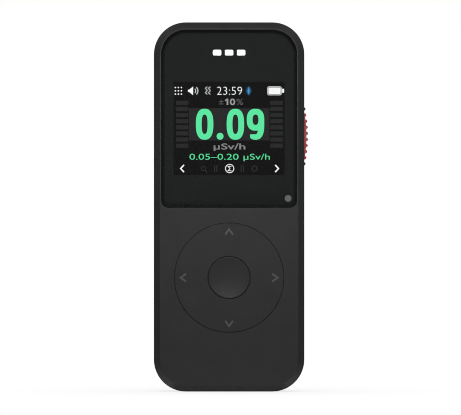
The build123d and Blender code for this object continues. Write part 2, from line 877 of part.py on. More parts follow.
with BuildPart() as usb_tongue:
    root_foot = socket_foot + 5.4
    root_head = socket_foot + socket_length - socket_shell - thin_gap
    shell_gap = socket_shell + thin_gap
    root_width = socket_width - 2 * shell_gap
    root_height = socket_height - 2 * shell_gap
    with BuildSketch(Plane.XY.offset(root_foot)):
        with Locations((0, y_at(socket_depth))):
            RectangleRounded(root_width, root_height, socket_corner - shell_gap)
    extrude(amount=root_head - root_foot)
    with BuildSketch(Plane.XY.offset(root_foot)):
        with Locations((0, y_at(socket_depth))):
            RectangleRounded(6.7, 0.7, 0.2)
    extrude(amount=-4.5)
save(usb_tongue, "usb_tongue")

# ---------------------------------------------------------------- Geiger-Mueller tube

tube_point = (tube_x, y_at(tube_depth))
wire_gap = 0.03
grooves = 9
groove_pitch = 8.2
groove_width = 1.0
groove_depth = 0.12

with BuildPart() as gm_tube_shell:
    with BuildSketch(Plane.XY.offset(tube_foot)):
        with Locations(tube_point):
            Circle(tube_radius)
            Circle(tube_radius - tube_wall, mode=Mode.SUBTRACT)
    extrude(amount=tube_head - tube_foot)
    # Shallow rolled grooves that stiffen the thin wall.
    for index in range(grooves):
        height = (tube_foot + tube_head) / 2 + (index - (grooves - 1) / 2) * groove_pitch
        with BuildSketch(Plane.XY.offset(height - groove_width / 2)):
            with Locations(tube_point):
                Circle(tube_radius + groove_depth)
                Circle(tube_radius - groove_depth, mode=Mode.SUBTRACT)
        extrude(amount=groove_width, mode=Mode.SUBTRACT)
save(gm_tube_shell, "gm_tube_shell")

with BuildPart() as gm_tube_insulators:
    for height in (tube_foot, tube_head - tube_plug):
        with BuildSketch(Plane.XY.offset(height)):
            with Locations(tube_point):
                Circle(tube_radius - tube_wall - touch_gap)
                Circle(wire_radius + wire_gap, mode=Mode.SUBTRACT)
        extrude(amount=tube_plug)
save(gm_tube_insulators, "gm_tube_insulators")

with BuildPart() as gm_tube_end_caps:
    for height in (tube_foot - cap_length, tube_head):
        with BuildSketch(Plane.XY.offset(height)):
            with Locations(tube_point):
                Circle(cap_radius)
        extrude(amount=cap_length)
    fillet(gm_tube_end_caps.faces().sort_by(Axis.Z)[0].edges(), 0.5)
    fillet(gm_tube_end_caps.faces().sort_by(Axis.Z)[-1].edges(), 0.5)
    with BuildSketch(Plane.XY.offset(tube_foot - tube_plug)):
        with Locations(tube_point):
            Circle(wire_radius + wire_gap)
    extrude(amount=tube_head - tube_foot + 2 * tube_plug, mode=Mode.SUBTRACT)
save(gm_tube_end_caps, "gm_tube_end_caps")

with BuildPart() as gm_anode_wire:
    with BuildSketch(Plane.XY.offset(tube_foot - tube_plug + fit_gap)):
        with Locations(tube_point):
            Circle(wire_radius)
    extrude(amount=tube_head - tube_foot + 2 * (tube_plug - fit_gap))
save(gm_anode_wire, "gm_anode_wire")

clip_width = 4.0
clip_sheet = 0.4
clip_outer = cap_radius + touch_gap + clip_sheet
clip_leg_end = tube_depth - cap_radius - clip_sheet / 2
with BuildPart() as tube_clips:
    for height in (tube_foot - cap_length / 2, tube_head + cap_length / 2):
        with BuildSketch(Plane.XY.offset(height - clip_width / 2)):
            with Locations(tube_point):
                Circle(clip_outer)
                Circle(cap_radius + touch_gap, mode=Mode.SUBTRACT)
            # The clip is open towards the rear, so that the tube snaps in.
            with Locations((tube_x, y_at(tube_depth) + cap_radius + 1.2)):
                Rectangle(8, 4, mode=Mode.SUBTRACT)
            with Locations((tube_x, y_at((board_back + clip_leg_end) / 2))):
                Rectangle(4 * clip_sheet, clip_leg_end - board_back)
            with Locations((tube_x, y_at(board_back + clip_sheet / 2))):
                Rectangle(5.0, clip_sheet)
        extrude(amount=clip_width)
save(tube_clips, "tube_clips")

sleeve_length = 3.0
sleeve_thickness = 0.35
with BuildPart() as tube_sleeves:
    for height in (tube_foot + 7, tube_head - 7 - sleeve_length):
        with BuildSketch(Plane.XY.offset(height)):
            with Locations(tube_point):
                Circle(tube_radius + sleeve_thickness)
                Circle(tube_radius + touch_gap, mode=Mode.SUBTRACT)
        extrude(amount=sleeve_length)
save(tube_sleeves, "tube_sleeves")

film_thickness = 0.1
with BuildPart() as detector_film:
    with BuildSketch(at_depth(cavity_back)):
        with Locations((tube_x, case_mid)):
            Rectangle(grille_length + 1.6, grille_pitch * grille_slots + 1)
    extrude(amount=film_thickness)
save(detector_film, "detector_film")

# ---------------------------------------------------------------- power, sound and vibration

with BuildPart() as battery_cell:
    with BuildSketch(at_depth(cell_depth)):
        with Locations((cell_x, cell_foot + cell_height / 2)):
            Rectangle(cell_width, cell_height)
    extrude(amount=-cell_thickness)
    fillet(battery_cell.edges().filter_by(Axis.Z), 1.5)
save(battery_cell, "battery_cell")

with BuildPart() as battery_pad:
    with BuildSketch(at_depth(cell_depth + cell_thickness)):
        with Locations((cell_x, cell_foot + cell_height / 2)):
            Rectangle(cell_width - 6, cell_height - 8)
    extrude(amount=cell_depth + cell_thickness - cavity_back)
save(battery_pad, "battery_pad")

plug_point = (18.5, 65.8)
plug_width = 4.5
plug_length = 2.3
plug_height = 3.2
plug_front = board_back + 0.6
socket_floor = 0.5
with BuildPart() as battery_socket:
    with BuildSketch(at_depth(board_back)):
        with Locations(plug_point):
            Rectangle(plug_width + 1.1, plug_length + 1.1)
    extrude(amount=-3.0)
    with BuildSketch(at_depth(board_back + socket_floor)):
        with Locations(plug_point):
            Rectangle(plug_width + fit_gap, plug_length + fit_gap)
    extrude(amount=-3.0, mode=Mode.SUBTRACT)
save(battery_socket, "battery_socket")

with BuildPart() as battery_plug:
    with BuildSketch(at_depth(plug_front)):
        with Locations(plug_point):
            Rectangle(plug_width, plug_length)
    extrude(amount=-plug_height)
save(battery_plug, "battery_plug")

lead_radius = 0.45
lead_spacing = 2.2
with BuildPart() as battery_leads:
    for side in (-0.5, 0.5):
        lead_x = plug_point[0] + side * lead_spacing
        plug_end = (lead_x, y_at(plug_front + plug_height), plug_point[1])
        cell_end = (lead_x - 2, y_at(cell_depth + 0.7 * cell_thickness), cell_foot + cell_height)
        with BuildLine():
            run = Spline(plug_end, cell_end, tangents=[(0, 1, 0), (0, 0, -1)])
        with BuildSketch(Plane(origin=run @ 0, z_dir=run % 0)):
            Circle(lead_radius)
        sweep()
save(battery_leads, "battery_leads")

with BuildPart() as buzzer:
    with BuildSketch(at_depth(board_back)):
        with Locations(buzzer_point):
            Circle(buzzer_radius)
    extrude(amount=-buzzer_height)
    fillet(back_edges(buzzer), 0.4)
    with BuildSketch(at_depth(board_back + buzzer_height)):
        with Locations(buzzer_point):
            Circle(1.0)
    extrude(amount=1.4, mode=Mode.SUBTRACT)
save(buzzer, "buzzer")

with BuildPart() as buzzer_seal:
    with BuildSketch(at_depth(board_back + buzzer_height)):
        with Locations(buzzer_point):
            Circle(buzzer_radius - 0.5)
            Circle(buzzer_radius - 2.5, mode=Mode.SUBTRACT)
    extrude(amount=board_back + buzzer_height - chimney_front)
save(buzzer_seal, "buzzer_seal")

with BuildPart() as buzzer_mesh:
    with BuildSketch(at_depth(cavity_back)):
        with Locations(buzzer_point):
            Circle(chimney_inner - fit_gap)
    extrude(amount=film_thickness)
save(buzzer_mesh, "buzzer_mesh")

motor_point = (y_at(11.3), 68.0)
motor_radius = 3.0
motor_start = 4.0
motor_length = 9.0
shaft_radius = 0.45
shaft_end = 8.8
weight_start = -0.6
weight_length = 4.0
weight_radius = 2.8
with BuildPart() as vibration_motor:
    with BuildSketch(Plane.YZ.offset(motor_start)):
        with Locations(motor_point):
            Circle(motor_radius)
    extrude(amount=motor_length)
    with BuildSketch(Plane.YZ.offset(motor_start)):
        with Locations(motor_point):
            Circle(shaft_radius + running_gap)
    extrude(amount=shaft_end - motor_start + 2 * fit_gap, mode=Mode.SUBTRACT)
save(vibration_motor, "vibration_motor")

with BuildPart() as vibration_weight:
    # A sector of a disc on a hub, so that it runs out of balance.
    with BuildSketch(Plane.YZ.offset(weight_start)):
        with Locations(motor_point):
            Circle(weight_radius)
            with Locations((0, motor_radius + 0.6)):
                Rectangle(2 * motor_radius, 2 * motor_radius, mode=Mode.SUBTRACT)
            Circle(1.0)
    extrude(amount=weight_length)
    with BuildSketch(Plane.YZ.offset(weight_start)):
        with Locations(motor_point):
            Circle(shaft_radius)
    extrude(amount=shaft_end - weight_start)
save(vibration_weight, "vibration_weight")

boot_side = 7.4
with BuildPart() as motor_boot:
    with BuildSketch(Plane.YZ.offset(motor_start + 1.5)):
        with Locations((y_at(board_back) + boot_side / 2, motor_point[1])):
            RectangleRounded(boot_side, boot_side, 1.0)
        with Locations(motor_point):
            Circle(motor_radius + touch_gap, mode=Mode.SUBTRACT)
    extrude(amount=motor_length - 2.5)
save(motor_boot, "motor_boot")
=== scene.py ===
"""Looks of the handheld geiger counter: glass, display, prints, materials and studio, around the CAD frame.

Metres, in the frame's own axes: X to the right, Y into the case from its front face, Z up.
"""

import json
import math

import bmesh
import bpy
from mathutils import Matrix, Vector


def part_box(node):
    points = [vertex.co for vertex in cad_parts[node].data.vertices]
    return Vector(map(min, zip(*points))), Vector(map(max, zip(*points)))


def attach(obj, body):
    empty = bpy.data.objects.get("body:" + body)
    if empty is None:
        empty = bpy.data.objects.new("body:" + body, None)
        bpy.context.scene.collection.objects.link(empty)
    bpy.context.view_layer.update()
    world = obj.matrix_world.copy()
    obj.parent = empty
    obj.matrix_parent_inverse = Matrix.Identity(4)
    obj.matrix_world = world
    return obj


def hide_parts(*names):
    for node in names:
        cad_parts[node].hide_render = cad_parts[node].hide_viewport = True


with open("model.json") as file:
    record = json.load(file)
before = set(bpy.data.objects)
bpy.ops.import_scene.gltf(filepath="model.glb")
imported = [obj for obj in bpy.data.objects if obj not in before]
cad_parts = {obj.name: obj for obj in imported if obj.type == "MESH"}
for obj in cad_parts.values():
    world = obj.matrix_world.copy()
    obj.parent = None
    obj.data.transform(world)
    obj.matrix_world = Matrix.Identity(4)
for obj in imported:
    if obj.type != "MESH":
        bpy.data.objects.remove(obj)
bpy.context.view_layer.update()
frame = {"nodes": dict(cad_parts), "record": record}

MM = 0.001

# ---------------------------------------------------------------- places, all read from the frame

case_low, case_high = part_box("front_case")
lens_low, lens_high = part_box("window_lens")
mask_low, mask_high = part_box("window_mask")
panel_low, panel_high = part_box("display_panel")
ring_low, ring_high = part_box("nav_ring")
label_low, label_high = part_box("rear_label")

face_y = case_low.y
ring_centre = Vector((0.0, (ring_low.z + ring_high.z) / 2))

# The lit picture sits a little above the middle of the display panel.
PICTURE_HEIGHT = 33.5 * MM
PICTURE_RISE = 1.6 * MM
picture_top = (panel_low.z + panel_high.z) / 2 + PICTURE_RISE + PICTURE_HEIGHT / 2


# ---------------------------------------------------------------- material building

class Nodes:
    """A node tree, emptied, with short calls that add to it."""

    def __init__(self, tree):
        self.tree = tree
        self.tree.nodes.clear()

    def node(self, kind, **settings):
        """A new node with these settings."""
        made = self.tree.nodes.new(kind)
        for key, value in settings.items():
            setattr(made, key, value)
        return made

    def feed(self, node, socket, value):
        """Sets a socket to a value, or links it to another node's output."""
        if isinstance(value, bpy.types.NodeSocket):
            self.tree.links.new(value, node.inputs[socket])
        else:
            node.inputs[socket].default_value = value

    def spread(self, value, low, high, start=0.3, end=0.7):
        """Remaps start..end of a value to low..high."""
        made = self.node("ShaderNodeMapRange")
        self.feed(made, "Value", value)
        for key, number in (("From Min", start), ("From Max", end), ("To Min", low), ("To Max", high)):
            made.inputs[key].default_value = number
        return made.outputs["Result"]

    def maths(self, operation, first, second=0.0):
        """The result of one sum on two values."""
        made = self.node("ShaderNodeMath", operation=operation)
        self.feed(made, 0, first)
        self.feed(made, 1, second)
        return made.outputs[0]

    def axis(self, vector, name):
        """One of the three numbers of a vector."""
        split = self.node("ShaderNodeSeparateXYZ")
        self.feed(split, "Vector", vector)
        return split.outputs[name]

    def split_rays(self, output, lit, shown):
        """Ends the tree in one shader for light, and another for what the camera sees."""
        pick = self.node("ShaderNodeMixShader")
        self.feed(pick, 0, self.node("ShaderNodeLightPath").outputs["Is Camera Ray"])
        self.feed(pick, 1, lit.outputs[0])
        self.feed(pick, 2, shown.outputs[0])
        self.feed(self.node(output), "Surface", pick.outputs[0])


class Shader(Nodes):
    """A material with one Principled surface, and calls for the textures that feed it."""

    def __init__(self, name, **surface):
        self.material = bpy.data.materials.new(name)
        self.material.use_nodes = True
        super().__init__(self.material.node_tree)
        output = self.node("ShaderNodeOutputMaterial")
        self.surface = self.node("ShaderNodeBsdfPrincipled")
        self.feed(output, "Surface", self.surface.outputs["BSDF"])
        self.place = self.node("ShaderNodeTexCoord").outputs["Object"]
        for key, value in surface.items():
            self.feed(self.surface, key.replace("_", " ").title().replace("Ior", "IOR"), value)

    def noise(self, size, detail=2.0, stretch=(1.0, 1.0, 1.0)):
        """Noise from 0 to 1 with features of this size in metres, drawn out along any stretched axis."""
        mapping = self.node("ShaderNodeMapping")
        self.feed(mapping, "Vector", self.place)
        self.feed(mapping, "Scale", [1.0 / s for s in stretch])
        made = self.node("ShaderNodeTexNoise")
        self.feed(made, "Vector", mapping.outputs["Vector"])
        self.feed(made, "Scale", 1.0 / size)
        self.feed(made, "Detail", detail)
        return made.outputs["Fac"]

    def blend(self, factor, first, second):
        """Mixes two colours, each a value or an output."""
        made = self.node("ShaderNodeMix", data_type="RGBA")
        self.feed(made, 0, factor)
        for index, colour in ((6, first), (7, second)):
            self.feed(made, index, colour if isinstance(colour, bpy.types.NodeSocket) else (*colour, 1.0))
        return made.outputs[2]

    def bump(self, height, depth):
        """Roughens the surface by a bump of this depth in metres, from a height of 0 to 1."""
        made = self.node("ShaderNodeBump")
        self.feed(made, "Height", height)
        self.feed(made, "Distance", depth)
        self.feed(self.surface, "Normal", made.outputs["Normal"])

    def edges(self, radius):
        """1 on edges sharper than this radius, and 0 on flat ground."""
        soft = self.node("ShaderNodeBevel", samples=4)
        self.feed(soft, "Radius", radius)
        plain = self.node("ShaderNodeNewGeometry").outputs["Normal"]
        dot = self.node("ShaderNodeVectorMath", operation="DOT_PRODUCT")
        self.feed(dot, 0, soft.outputs["Normal"])
        self.feed(dot, 1, plain)
        return self.spread(dot.outputs["Value"], 1.0, 0.0, 0.75, 0.97)


def scaled(colour, factor):
    """A colour made lighter or darker."""
    return tuple(channel * factor for channel in colour)


def painted_side_shade(shader, body, shade_factor):
    """Painted shade: a colour darkened on the walls that face left and right, as if they caught less light.
    """
    normal = shader.node("ShaderNodeTexCoord").outputs["Normal"]
    side_shade_mask = shader.spread(shader.maths("ABSOLUTE", shader.axis(normal, "X")), 0.0, 1.0, 0.1, 0.6)
    shaded_colour = shader.node("ShaderNodeMix", data_type="RGBA", blend_type="MULTIPLY")
    for index, value in ((0, side_shade_mask), (6, body), (7, (shade_factor, shade_factor, shade_factor, 1.0))):
        shader.feed(shaded_colour, index, value)
    return shaded_colour.outputs[2]


WEAR_RADIUS = 0.35 * MM
WEAR_PATCH = 1.6 * MM
# Above the lip height edges are lightened this many times more: a painted highlight around the window.
LIP_HIGHLIGHT = 4.0
LIP_SPAN = 2.0 * MM
EDGE_PALENESS = 2.2
WORN_SHINE = 0.15


def edge_wear_and_highlight(shader, lip_height):
    """How pale a place is: patchy wear along sharp edges, and more above the lip height, where the extra is a
    painted highlight around the window.
    """
    patches = shader.spread(shader.noise(WEAR_PATCH, 3.0), 0.3, 1.0)
    wear_and_highlight = shader.maths("MULTIPLY", shader.edges(WEAR_RADIUS), patches)
    if lip_height is None:
        return wear_and_highlight
    lip_highlight = shader.spread(shader.axis(shader.place, "Z"), 1.0, LIP_HIGHLIGHT, lip_height - LIP_SPAN, lip_height)
    return shader.maths("MULTIPLY", wear_and_highlight, lip_highlight)


def moulded(name, colour, roughness, grain=0.35 * MM, depth=0.012 * MM, mottle=0.1, edge_paling=0.0,
            lip_height=None, side_shade=None):
    """Moulded plastic: a fine eroded grain, faint mottling, and paler edges from handling wear.

    Edges above lip_height are lightened more, which is a painted highlight around the window. Walls that face
    left and right can be darkened by a factor, which is painted shade.
    """
    shader = Shader(name)
    cloud = shader.spread(shader.noise(9 * MM, 3.0), 0.0, 1.0)
    body = shader.blend(cloud, scaled(colour, 1 - mottle), scaled(colour, 1 + mottle))
    # Painted shade on the walls that face left and right.
    if side_shade is not None:
        body = painted_side_shade(shader, body, side_shade)
    rub = shader.spread(shader.noise(4 * MM, 4.0), roughness - 0.04, roughness + 0.05)
    if edge_paling > 0.0:
        # Paler edges: wear, and above the lip height a painted highlight.
        wear_and_highlight = shader.maths("MULTIPLY", edge_wear_and_highlight(shader, lip_height), edge_paling)
        body = shader.blend(wear_and_highlight, body, scaled(colour, EDGE_PALENESS))
        rub = shader.maths("SUBTRACT", rub, shader.maths("MULTIPLY", wear_and_highlight, WORN_SHINE))
    shader.feed(shader.surface, "Base Color", body)
    shader.feed(shader.surface, "Roughness", rub)
    shader.bump(shader.noise(grain, 3.0), depth)
    return shader.material


def metal(name, colour, roughness, stretch=(1.0, 1.0, 14.0)):
    """Drawn or rolled metal: streaks along one axis, with uneven tarnish."""
    shader = Shader(name, metallic=1.0)
    streak = shader.noise(0.25 * MM, 3.0, stretch)
    cloud = shader.noise(3 * MM, 4.0)
    shader.feed(shader.surface, "Base Color",
                shader.blend(shader.spread(cloud, 0.0, 1.0), scaled(colour, 0.75), scaled(colour, 1.1)))
    shader.feed(shader.surface, "Roughness", shader.spread(streak, roughness - 0.08, roughness + 0.1))
    shader.bump(streak, 0.006 * MM)
    return shader.material


def clear(name, colour, roughness, ior):
    """Clear plastic or glass, with a faint uneven film of handling on it."""
    shader = Shader(name, base_color=(*colour, 1.0), transmission_weight=1.0, ior=ior)
    film = shader.noise(14 * MM, 5.0)
    shader.feed(shader.surface, "Roughness", shader.spread(film, roughness, roughness + 0.03))
    return shader.material


PIXEL_PITCH = 0.125 * MM
PIXEL_GAP = 0.12


def glow(name, colour, strength):
    """Lit picture elements behind glass: a steady light, broken by the dark lines between pixels."""
    shader = Shader(name, base_color=(0.001, 0.001, 0.001, 1.0), roughness=0.4)
    shader.feed(shader.surface, "Specular IOR Level", 0.1)
    lines = []
    for direction in ("X", "Z"):
        count = shader.maths("DIVIDE", shader.axis(shader.place, direction), PIXEL_PITCH)
        lines.append(shader.maths("GREATER_THAN", shader.maths("FRACT", count), PIXEL_GAP))
    cell = shader.spread(shader.maths("MULTIPLY", *lines), 0.82, 1.06, 0.0, 1.0)
    shader.feed(shader.surface, "Emission Color", (*colour, 1.0))
    shader.feed(shader.surface, "Emission Strength", shader.maths("MULTIPLY", cell, strength))
    return shader.material


def ink(name, colour, roughness=0.45, specular=0.5):
    """Screen-printed ink: slightly uneven cover, and a soft toothy surface."""
    shader = Shader(name)
    shader.feed(shader.surface, "Specular IOR Level", specular)
    cover = shader.noise(0.5 * MM, 3.0)
    shader.feed(shader.surface, "Base Color",
                shader.blend(shader.spread(cover, 0.0, 1.0), scaled(colour, 0.9), scaled(colour, 1.05)))
    shader.feed(shader.surface, "Roughness", shader.spread(cover, roughness - 0.05, roughness + 0.08))
    shader.bump(cover, 0.003 * MM)
    return shader.material


PORE_SIZE = 0.35 * MM


def foam(name, colour):
    """Closed-cell foam: round open pores on a matte ground."""
    shader = Shader(name)
    pores = shader.node("ShaderNodeTexVoronoi")
    shader.feed(pores, "Vector", shader.place)
    shader.feed(pores, "Scale", 1.0 / PORE_SIZE)
    depth = shader.spread(pores.outputs["Distance"], 0.0, 1.0, 0.1, 0.5)
    shader.feed(shader.surface, "Base Color", shader.blend(depth, scaled(colour, 0.5), scaled(colour, 1.3)))
    shader.feed(shader.surface, "Roughness", shader.spread(depth, 0.75, 0.95, 0.0, 1.0))
    shader.bump(depth, 0.05 * MM)
    return shader.material


TRACK_LENGTH = 3.2 * MM


def board_mask(name, colour):
    """Green solder mask over copper: paler tracks show faintly through it."""
    shader = Shader(name, coat_weight=0.4)
    tracks = shader.node("ShaderNodeTexBrick")
    shader.feed(tracks, "Vector", shader.place)
    shader.feed(tracks, "Scale", 1.0 / TRACK_LENGTH)
    shader.feed(tracks, "Mortar Size", 0.05)
    for socket, factor in (("Color1", 0.8), ("Color2", 1.1), ("Mortar", 2.0)):
        shader.feed(tracks, socket, (*scaled(colour, factor), 1.0))
    shader.feed(shader.surface, "Base Color", tracks.outputs["Color"])
    shader.feed(shader.surface, "Roughness", shader.spread(shader.noise(2 * MM), 0.3, 0.42))
    shader.bump(tracks.outputs["Fac"], 0.02 * MM)
    return shader.material


THREAD_RADIAN = 0.12 * MM
WAVE_RADIANS = 20  # of a wave texture at scale 1, in a metre


def woven(name, colour):
    """Acoustic mesh: crossed threads."""
    shader = Shader(name, roughness=0.8)
    threads = []
    for direction in ("X", "Z"):
        wave = shader.node("ShaderNodeTexWave", bands_direction=direction)
        shader.feed(wave, "Vector", shader.place)
        shader.feed(wave, "Scale", 1.0 / (WAVE_RADIANS * THREAD_RADIAN))
        threads.append(wave.outputs["Fac"])
    weave = shader.maths("MULTIPLY", *threads)
    shader.feed(shader.surface, "Base Color", shader.blend(weave, scaled(colour, 0.4), scaled(colour, 2.0)))
    shader.bump(weave, 0.04 * MM)
    return shader.material


# ---------------------------------------------------------------- shape building

def mesh_piece(name, bm, material, body, smooth_angle=None):
    """Turns a bmesh into a piece of the object that rides on a body."""
    bmesh.ops.recalc_face_normals(bm, faces=bm.faces)
    mesh = bpy.data.meshes.new(name)
    bm.to_mesh(mesh)
    bm.free()
    mesh.materials.append(material)
    piece = bpy.data.objects.new(name, mesh)
    bpy.context.scene.collection.objects.link(piece)
    if smooth_angle is not None:
        mesh.shade_smooth()
        mesh.set_sharp_from_angle(angle=smooth_angle)
    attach(piece, body)
    return piece


def loop_at(bm, points, y):
    """A loop of vertices at one depth, from (x, z) points."""
    return [bm.verts.new((x, y, z)) for x, z in points]


def bridge(bm, first, second):
    """Quads between two loops of equal length."""
    count = len(first)
    for i in range(count):
        j = (i + 1) % count
        bm.faces.new((first[i], first[j], second[j], second[i]))


def add_plate(bm, points, front, back):
    """A closed flat plate with this outline."""
    near, far = loop_at(bm, points, front), loop_at(bm, points, back)
    bm.faces.new(near)
    bm.faces.new(far[::-1])
    bridge(bm, near, far)


def add_band(bm, outer, inner, front, back):
    """A closed flat plate between two outlines of equal length."""
    sides = ((outer, front), (inner, front), (inner, back), (outer, back))
    loops = [loop_at(bm, points, y) for points, y in sides]
    for i in range(4):
        bridge(bm, loops[i], loops[(i + 1) % 4])


def arc(centre, radius, start, end, steps=12):
    """Points on an arc, with angles in degrees anticlockwise from +X."""
    angles = [math.radians(start + (end - start) * i / steps) for i in range(steps + 1)]
    return [(centre[0] + radius * math.cos(a), centre[1] + radius * math.sin(a)) for a in angles]


def rounded_box(centre, width, height, radius, steps=5):
    """The outline of a box with four equal round corners."""
    x, z = width / 2 - radius, height / 2 - radius
    corners = ((x, z, 0), (-x, z, 90), (-x, -z, 180), (x, -z, 270))
    points = []
    for dx, dz, start in corners:
        points += arc((centre[0] + dx, centre[1] + dz), radius, start, start + 90, steps)
    return points


def oval(centre, half_x, half_z, power=2.0, start=0.0, end=360.0, steps=48):
    """Points on a superellipse: power 2 is an ellipse, and more is squarer."""
    points = []
    for i in range(steps):
        a = math.radians(start + (end - start) * i / (steps if end - start == 360.0 else steps - 1))
        c, s = math.cos(a), math.sin(a)
        points.append((centre[0] + half_x * math.copysign(abs(c) ** (2 / power), c),
                       centre[1] + half_z * math.copysign(abs(s) ** (2 / power), s)))
    return points


def stroke(points, width):
    """The outline of a pen line of this width along a path, mitred at its corners."""
    path = [Vector(p) for p in points]
    left, right = [], []
    for i, point in enumerate(path):
        before = (point - path[i - 1]).normalized() if i else None
        after = (path[i + 1] - point).normalized() if i + 1 < len(path) else None
        along = ((before or after) + (after or before)).normalized()
        across = Vector((-along.y, along.x))
        reach = width / 2 / max(0.4, along.dot(after or before))
        left.append(tuple(point + across * reach))
        right.append(tuple(point - across * reach))
    return left + right[::-1]


# ---------------------------------------------------------------- window glass

LENS_SLOPE_WIDTH = 2.0 * MM
LENS_SLOPE_DEPTH = 0.3 * MM
LENS_EDGE = 0.12 * MM
LENS_TOP_CORNER = 9.05 * MM
LENS_BOTTOM_CORNER = 2.7 * MM
LENS_STEPS = 14
GLASS_TINT = (0.93, 0.95, 0.94)
BOND_GAP = 0.01 * MM


def lens_outline(inset, steps=16):
    """The window's outline shrunk by an inset: round shoulders above, tighter corners below."""
    left, right = lens_low.x + inset, lens_high.x - inset
    low, high = lens_low.z + inset, lens_high.z - inset
    top, bottom = LENS_TOP_CORNER - inset, LENS_BOTTOM_CORNER - inset
    points = arc((right - top, high - top), top, 0, 90, steps)
    points += arc((left + top, high - top), top, 90, 180, steps)
    points += arc((left + bottom, low + bottom), bottom, 180, 270, steps)
    points += arc((right - bottom, low + bottom), bottom, 270, 360, steps)
    return points


def build_lens():
    """Window glass whose face falls away towards its edge in one long curve."""
    bend = (LENS_SLOPE_WIDTH**2 + LENS_SLOPE_DEPTH**2) / (2 * LENS_SLOPE_DEPTH)
    profile = []
    for i in range(LENS_STEPS + 1):
        run = (LENS_SLOPE_WIDTH - LENS_EDGE) * i / LENS_STEPS
        drop = bend - math.sqrt(bend**2 - run**2)
        profile.append((LENS_SLOPE_WIDTH - run, lens_low.y + drop))
    inset, y = profile[-1]
    for angle in (30, 60, 90):
        a = math.radians(angle)
        profile.append((inset - LENS_EDGE * math.sin(a), y + LENS_EDGE * (1 - math.cos(a))))
    profile.append((0.0, lens_high.y - BOND_GAP))
    bm = bmesh.new()
    loops = [loop_at(bm, lens_outline(inset), y) for inset, y in profile]
    for first, second in zip(loops, loops[1:]):
        bridge(bm, first, second)
    bm.faces.new(loops[0])
    bm.faces.new(loops[-1][::-1])
    glass = clear("window_glass", GLASS_TINT, 0.02, 1.5)
    lens = mesh_piece("window_glass", bm, glass, "case", math.radians(35))
    # Lamps reach the prints and the display behind the glass.
    lens.visible_shadow = False
    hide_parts("window_lens")


# ---------------------------------------------------------------- the picture on the display

PIXEL_FILM = 0.012 * MM
PIXEL_DEPTH = PIXEL_FILM * 0.8
PICTURE_GLOW = 1.08
WHITE = (0.98, 0.98, 0.98)
SOFT_WHITE = scaled(WHITE, 0.6)
GREY = (0.19, 0.185, 0.19)
DARK_GREY = scaled(GREY, 0.45)
GREEN = (0.11, 0.83, 0.37)
DIM = (0.0168, 0.0168, 0.0173)
FAINT = (0.022, 0.021, 0.025)
BLUE = (0.06, 0.27, 0.52)
DEEP_BLUE = (0.005, 0.045, 0.11)

picture_inks = {}


def picture_ink(colour):
    """One glowing material per colour."""
    if colour not in picture_inks:
        picture_inks[colour] = glow("picture_%02d" % len(picture_inks), colour, PICTURE_GLOW)
    return picture_inks[colour]


def on_picture(x, z):
    """A place on the picture, from millimetres right of its middle and below its top."""
    return (x * MM, picture_top - z * MM)


def picture_piece(name, colour, plates=(), bands=(), layer=1):
    """A lit shape on the display. Higher layers lie in front."""
    back = panel_low.y - PIXEL_FILM * layer
    front = back - PIXEL_DEPTH
    bm = bmesh.new()
    for points in plates:
        add_plate(bm, points, front, back)
    for outer, inner in bands:
        add_band(bm, outer, inner, front, back)
    return mesh_piece(name, bm, picture_ink(colour), "case")


def lettering(name, text, centre, height, width, material, y, weight):
    """Plain figures and signs in the built-in face, scaled to a given height and width."""
    curve = bpy.data.curves.new(name, "FONT")
    curve.body = text
    curve.size = 1.0
    curve.offset = weight
    curve.resolution_u = 6
    draft = bpy.data.objects.new(name + "_draft", curve)
    bpy.context.scene.collection.objects.link(draft)
    bpy.context.view_layer.update()
    mesh = bpy.data.meshes.new_from_object(draft.evaluated_get(bpy.context.evaluated_depsgraph_get()))
    bpy.data.objects.remove(draft)
    xs = [v.co.x for v in mesh.vertices]
    ys = [v.co.y for v in mesh.vertices]
    mid = Vector(((min(xs) + max(xs)) / 2, (min(ys) + max(ys)) / 2))
    across, up = width / (max(xs) - min(xs)), height / (max(ys) - min(ys))
    for vertex in mesh.vertices:
        x, z = (vertex.co.x - mid.x) * across, (vertex.co.y - mid.y) * up
        vertex.co = (centre[0] + x, y, centre[1] + z)
    bm = bmesh.new()
    bm.from_mesh(mesh)
    bmesh.ops.remove_doubles(bm, verts=bm.verts, dist=0.001 * MM)
    faces = bmesh.ops.extrude_face_region(bm, geom=bm.faces[:])
    far_side = [item for item in faces["geom"] if isinstance(item, bmesh.types.BMVert)]
    bmesh.ops.translate(bm, verts=far_side, vec=(0.0, PIXEL_DEPTH, 0.0))
    return mesh_piece(name, bm, material, "case")


TEXT_LAYER = 3


def picture_text(name, text, x, z, height, width, colour, weight=0.0):
    """A lit word on the display, with its place and size in millimetres."""
    y = panel_low.y - PIXEL_FILM * TEXT_LAYER - PIXEL_DEPTH
    return lettering(name, text, on_picture(x, z), height * MM, width * MM, picture_ink(colour), y, weight)


def moved(points, centre):
    """Points given in millimetres about a centre on the picture."""
    origin = on_picture(*centre)
    return [(origin[0] + x * MM, origin[1] + z * MM) for x, z in points]


def shape(centre, width, height, radius, steps=5):
    """A rounded box on the picture, in millimetres."""
    return rounded_box(on_picture(*centre), width * MM, height * MM, radius * MM, steps)


def pen(points, centre, width):
    """A pen line on the picture, in millimetres about a centre."""
    return stroke(moved(points, centre), width * MM)


def oval_ring(centre, outer, inner, power=2.0):
    """The outlines of a ring on the picture, from its two half sizes in millimetres."""
    return moved(oval((0, 0), *outer, power), centre), moved(oval((0, 0), *inner, power), centre)


